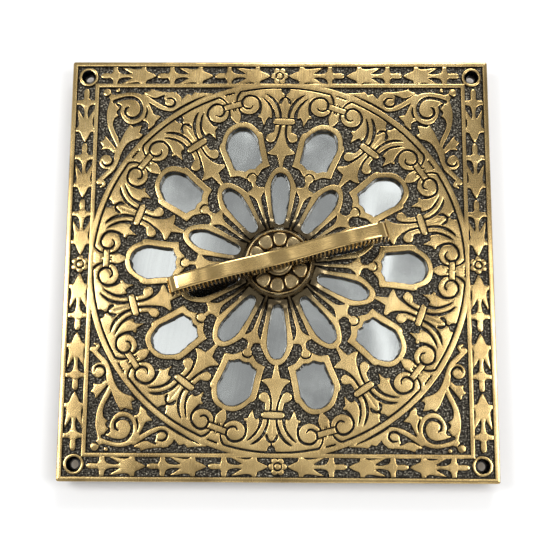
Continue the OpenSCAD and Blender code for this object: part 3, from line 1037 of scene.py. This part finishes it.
def turned_metal(name, low, high, rough_low, rough_high, size=0.5):
    """A machined metal: two shades, with fine marks all round."""
    m = Nodes(name)
    marks = m.noise(size, detail=3)
    cloud = m.noise(size * 12, detail=2)
    worn = m.ramp(marks, [(0.35, 0.0), (0.75, 0.5)])
    m.colour(m.mix(worn, m.between(cloud, low, high), low))
    m.rough(m.between(marks, rough_low, rough_high))
    m.bump(marks, 0.3, 0.03)
    return m.material


def shutter_sheet():
    """Rolled zinc-bright sheet with faint roll lines and a slight waviness"""
    m = Nodes("shutter_sheet")
    lines = m.noise(0.6, detail=2, stretch=(1, 60, 1), turn=-10)
    smears = m.noise(22, detail=3, distortion=0.6)
    colour = m.ramp(smears, [(0.35, (0.68, 0.71, 0.7)), (0.7, (0.86, 0.9, 0.88))])
    colour = m.mix(m.ramp(lines, [(0.4, 0.0), (0.8, 0.2)]), colour, (0.5, 0.52, 0.52))
    m.colour(colour)
    m.rough(m.between(smears, 0.08, 0.15))
    m.bump(m.noise(34, detail=0), 0.6, 1.2)
    return m.material


def plastic(name, low, high, rough):
    """A dull moulded or pressed material of two shades"""
    m = Nodes(name, metal=0.0)
    cloud = m.noise(1.5, detail=4)
    m.colour(m.between(cloud, low, high))
    m.rough(m.between(cloud, rough, rough + 0.15))
    m.bump(m.noise(0.5, detail=3), 0.4, 0.05)
    return m.material


# ---- the bow and what it stands on ----

# lengths run from the bow's middle: crests half way along a hump, and where the underside lifts
# and hangs
BOW_ANGLE = radians(15)
BOW_DEPTH = 8.5
BOW_CREST = 3.0
BOW_CURL = 5.0
BOW_REACH = 52.0
BOW_HUMPS = 66.0
BOW_LIFTED = 30.0
BOW_HANGS = 36.0
BOW_HANG_REACH = 14.0
REED_PITCH = 1.9
STATIONS_PER_REED = 10
CURL_SHARE = 0.96


def bow_top(s):
    """Height of the bow's top over its middle, s millimetres along it."""
    edge = BOW_REACH - abs(s)
    height = BOW_CREST * sin(pi * abs(s) / BOW_HUMPS)**2
    if edge < BOW_CURL:
        height -= BOW_CURL * (1 - sqrt(max(0, 1 - (1 - edge / BOW_CURL)**2)))
    return height


def bow_under(s):
    """Height of the bow's underside over its middle's top."""
    lift = 0.8 * BOW_CREST * sin(radians(min(90, 90 * abs(s) / BOW_LIFTED)))**2
    past = max(0, abs(s) - BOW_HANGS)
    hang = 0.7 * BOW_CREST * (1 - cos(radians(90 * past / BOW_HANG_REACH)))
    return -BOW_DEPTH + lift - hang


def build_bow(material):
    """The bow: a bar with a smooth top, and sides that widen downwards and carry upright reeds"""
    middle_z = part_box("turn_handle")[0].z / MM + BOW_DEPTH
    # across the bow: share of the depth from the top, half width in a cut, and how far a reed
    # stands out of it
    section = [(0.0, 0.0, 0.0), (0.0, 2.5, 0.0), (0.004, 3.2, 0.0), (0.03, 3.48, 0.02),
               (0.06, 3.42, 0.15), (0.1, 3.1, 0.75), (0.2, 3.1, 0.95), (0.5, 3.35, 0.95),
               (0.8, 3.55, 0.9), (0.95, 3.45, 0.8), (1.0, 3.1, 0.7), (1.0, 0.0, 0.0)]
    ring = section + [(depth, -half, out) for depth, half, out in section[-2:0:-1]]
    count = int(2 * BOW_REACH / REED_PITCH) * STATIONS_PER_REED
    verts, hollow = [], []
    for i in range(count + 1):
        t = -1 + 2 * i / count
        # stations come closer together towards the curled ends
        if abs(t) > CURL_SHARE:
            past = (abs(t) - CURL_SHARE) / (1 - CURL_SHARE)
            t = copysign(CURL_SHARE + (1 - CURL_SHARE) * sin(past * pi / 2), t)
        s = BOW_REACH * t
        top, under = middle_z + bow_top(s), middle_z + bow_under(s)
        reed = min(1, max(0, 0.55 + 0.8 * cos(2 * pi * s / REED_PITCH)))
        for depth, half, out in ring:
            y = copysign(abs(half) + out * reed, half) if half else 0.0
            verts.append((s * cos(BOW_ANGLE) - y * sin(BOW_ANGLE),
                          s * sin(BOW_ANGLE) + y * cos(BOW_ANGLE),
                          top + depth * (under - top)))
            # painted shade in the grooves between the reeds and low on the sides
            hollow.append(max((1 - reed) * min(1, out / 0.7), (depth - 0.8) * 4))
    n = len(ring)
    ends = [tuple(range(n)), tuple(len(verts) - 1 - j for j in range(n))]
    return hollow_piece("bow_handle", verts, quads(count + 1, n) + ends, material, hollow, 60)


COLLAR_SIDES = 128
ROSETTE_SIDES = 300
ROSETTE_BORE = 7.1
ROSETTE_TURN = 3
PETAL_MIDDLE_R = 10.7
PETAL_HALF_LENGTH = 3.5
PETAL_HALF_WIDTH = 3.22
PETAL_HEIGHT = 1.2


def build_rosette(material):
    """Dished disc with a thin rim and ten domed petals"""
    low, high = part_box("rosette")
    base_z, outer = low.z / MM, high.x / MM
    radii = np.concatenate([np.linspace(ROSETTE_BORE, outer - 1.5, 44),
                            outer - np.array([1.3, 1.1, 0.9, 0.6, 0.3, 0.1, 0.0])])
    verts, hollow = [], []
    for i in range(ROSETTE_SIDES):
        a = 2 * pi * i / ROSETTE_SIDES
        lean = (degrees(a) + ROSETTE_TURN) % PITCH - PITCH / 2
        for r in radii:
            across = r * radians(lean)
            along = r - PETAL_MIDDLE_R
            wide = PETAL_HALF_WIDTH + 0.29 * along
            q = abs(across / wide)**3 + abs(along / PETAL_HALF_LENGTH)**2.6
            edge = min(1, max(0, (1 - q) / 0.55))
            dome = PETAL_HEIGHT * sqrt(1 - (1 - edge)**2) + 0.1 * max(0, 1 - q)
            from_rim = outer - r
            rim = 1.0 * exp(-((from_rim - 0.55) / 0.5)**4) if from_rim > 0.05 else 0.3
            z = base_z + 0.95 + max(dome, rim)
            verts.append((r * cos(a), r * sin(a), z))
            # painted shade between the petals
            hollow.append(max(0.0, 1 - max(dome / 0.4, rim / 0.5)))
    n = len(radii)
    faces = quads(ROSETTE_SIDES, n, rows_close=True, columns_close=False, flip=True)
    # hub hole and outer edge down to the skirt, and the flat underside
    first = len(verts)
    for i in range(ROSETTE_SIDES):
        a = 2 * pi * i / ROSETTE_SIDES
        for r in (outer, BUSH_R):
            verts.append((r * cos(a), r * sin(a), base_z))
            # painted shade on the outer edge and the underside
            hollow.append(0.6)
    for i in range(ROSETTE_SIDES):
        i2 = (i + 1) % ROSETTE_SIDES
        rim, rim2 = i * n + n - 1, i2 * n + n - 1
        faces.append((rim, first + 2 * i, first + 2 * i2, rim2))
        faces.append((first + 2 * i, first + 2 * i + 1, first + 2 * i2 + 1, first + 2 * i2))
        faces.append((first + 2 * i + 1, i * n, i2 * n, first + 2 * i2 + 1))
    return hollow_piece("rosette_disc", verts, faces, material, hollow, 50)


def build_collar(material):
    """Stepped collar with a rounded shoulder, turned from a closed profile of (radius, height)"""
    low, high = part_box("stem_collar")
    z0, z1, outer = low.z / MM, high.z / MM, high.x / MM
    bore = 4.0
    step = outer - 1.0
    quarter = [radians(a) for a in (0, 22, 45, 68, 90)]
    profile = [(bore, z0), (outer - 0.15, z0), (outer, z0 + 0.15)]
    profile += [(outer - 0.7 + 0.7 * cos(a), z0 + 0.9 + 0.7 * sin(a)) for a in quarter]
    profile += [(step, z0 + 1.62), (step - 0.12, z0 + 1.8), (step, z0 + 1.95)]
    profile += [(step - 0.6 + 0.6 * cos(a), z1 - 0.6 + 0.6 * sin(a)) for a in quarter]
    profile += [(bore, z1)]
    # painted shade in the groove of the step
    hollow = [0.5 if abs(z - z0 - 1.75) < 0.25 else 0.0 for r, z in profile]
    verts = []
    for i in range(COLLAR_SIDES):
        a = 2 * pi * i / COLLAR_SIDES
        verts += [(r * cos(a), r * sin(a), z) for r, z in profile]
    faces = quads(COLLAR_SIDES, len(profile), rows_close=True)
    return hollow_piece("stepped_collar", verts, faces, material, hollow * COLLAR_SIDES, 35)


# ---- putting it together ----


def soften(node, width_mm):
    """Breaks the sharp edges of a CAD node and gives it clean normals."""
    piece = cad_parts[node]
    weld = piece.modifiers.new("weld", "WELD")
    weld.merge_threshold = 0.002 * MM
    bevel = piece.modifiers.new("soft_edges", "BEVEL")
    bevel.width = width_mm * MM
    bevel.segments = 2
    bevel.limit_method = "ANGLE"
    bevel.angle_limit = radians(50)
    bevel.harden_normals = True


def finish_node(node, material):
    """Gives a CAD node its material."""
    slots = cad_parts[node].material_slots
    for slot in slots:
        slot.material = material


def build_object():
    brass = antique_brass()
    plate = build_face_plate([brass, dark_ground(), wall_brass(), cast_back(), sink_black()])
    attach(plate, "grille")
    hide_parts("face_plate")
    brown = dark_brass()
    rosette = build_rosette(brown)
    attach(rosette, "grille")
    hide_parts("rosette")
    collar = build_collar(brown)
    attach(collar, "rotor")
    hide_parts("stem_collar")
    bow = build_bow(handle_brass())
    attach(bow, "rotor")
    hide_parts("turn_handle")
    steel = turned_metal("plated_steel", (0.42, 0.43, 0.44), (0.58, 0.59, 0.6), 0.25, 0.4)
    yellow = turned_metal("turned_brass", (0.50, 0.36, 0.14), (0.66, 0.49, 0.22), 0.25, 0.4)
    rivets = turned_metal("rivet_aluminium", (0.55, 0.56, 0.57), (0.72, 0.73, 0.74), 0.3, 0.45)
    finishes = {
        "spindle_bush": yellow, "stop_pin": steel, "clip_screws": steel, "wave_washer": steel,
        "flat_washer": steel, "clamp_nut": steel, "jam_nut": steel, "spindle": yellow,
        "shutter_hub": yellow, "hub_rivets": rivets, "shutter_disc": shutter_sheet(),
        "front_washer": plastic("black_nylon", (0.015, 0.015, 0.016), (0.04, 0.04, 0.042), 0.45),
        "slide_washer": plastic("fibre", (0.12, 0.075, 0.045), (0.22, 0.15, 0.09), 0.65),
    }
    clip = turned_metal("clip_brass", (0.45, 0.33, 0.13), (0.62, 0.46, 0.2), 0.3, 0.45, size=0.9)
    for k in range(1, 5):
        finishes[f"rim_clip_{k}"] = clip
    for node, material in finishes.items():
        finish_node(node, material)
    for node in ("clamp_nut", "jam_nut", "shutter_hub", "flat_washer", "stop_pin"):
        soften(node, 0.15)


def area_light(name, place, size, power, aim=None):
    """A softbox that looks straight down, or at a point."""
    light = bpy.data.lights.new(name, "AREA")
    light.shape = "RECTANGLE"
    light.size, light.size_y = size
    light.energy = power
    lamp = put_in_scene(name, light)
    lamp.location = place
    if aim is not None:
        lamp.rotation_euler = (Vector(aim) - Vector(place)).to_track_quat("-Z", "Y").to_euler()


# The camera stands half a metre out and a little below the plate's middle, and looks up at it.
FLOOR_HALF = 4.0
WORLD_STRENGTH = 0.37
LENS = 72
SENSOR = 36
EYE = Vector((5.11, -104.09, 513.76)) * MM
AHEAD = Vector((-0.01316, 0.19146, -0.98141)).normalized()
UPWARD = Vector((-0.00349, 0.98148, 0.19152))


def build_floor():
    """Pale floor under the lowest point"""
    corners = [(x * FLOOR_HALF, y * FLOOR_HALF, cad_box[0].z)
               for x, y in ((-1, -1), (1, -1), (1, 1), (-1, 1))]
    mesh = bpy.data.meshes.new("floor")
    mesh.from_pydata(corners, [], [(0, 1, 2, 3)])
    mesh.materials.append(
        Nodes("pale_floor", rough=0.7, metal=0.0, colour=(0.9, 0.9, 0.9)).material)
    floor = put_in_scene("floor", mesh)


def build_lights():
    """Soft studio light: even surroundings, overhead panels and strips, and lamps all round"""
    world = scene.world or bpy.data.worlds.new("studio")
    scene.world = world
    world.use_nodes = True
    background = world.node_tree.nodes["Background"]
    background.inputs["Color"].default_value = (1, 1, 1, 1)
    background.inputs["Strength"].default_value = WORLD_STRENGTH
    scene.view_settings.view_transform = "Standard"
    area_light("panel_left", (-0.56, 0.2, 1.0), (0.46, 0.18), 1.1)
    area_light("panel_right", (0.55, 0.15, 1.0), (0.46, 0.16), 1.3)
    area_light("panel_top", (0.0, 0.5, 1.0), (0.2, 0.12), 0.17)
    area_light("strip_left", (-0.16, 0.15, 1.0), (0.06, 0.3), 0.05)
    area_light("strip_right", (0.14, 0.2, 1.0), (0.03, 0.5), 0.07)
    middle = (0, 0, 0)
    area_light("side_left", (-0.66, 0.1, 0.9), (0.4, 0.4), 4.0, aim=middle)
    area_light("side_right", (0.66, -0.1, 0.9), (0.4, 0.4), 4.0, aim=middle)
    area_light("behind", (0.2, 0.95, 0.9), (0.5, 0.4), 5.5, aim=middle)
    area_light("front", (0.1, -0.8, 0.8), (0.5, 0.4), 1.3, aim=middle)


def build_camera():
    lens = bpy.data.cameras.new("camera")
    lens.lens = LENS
    lens.sensor_width = SENSOR
    lens.clip_start = 0.01
    camera = put_in_scene("camera", lens)
    right = AHEAD.cross(UPWARD).normalized()
    turn = Matrix((right, right.cross(AHEAD), -AHEAD)).transposed()
    camera.matrix_world = Matrix.Translation(EYE) @ turn.to_4x4()
    bpy.context.scene.camera = camera


build_floor()
build_lights()
build_camera()
build_object()
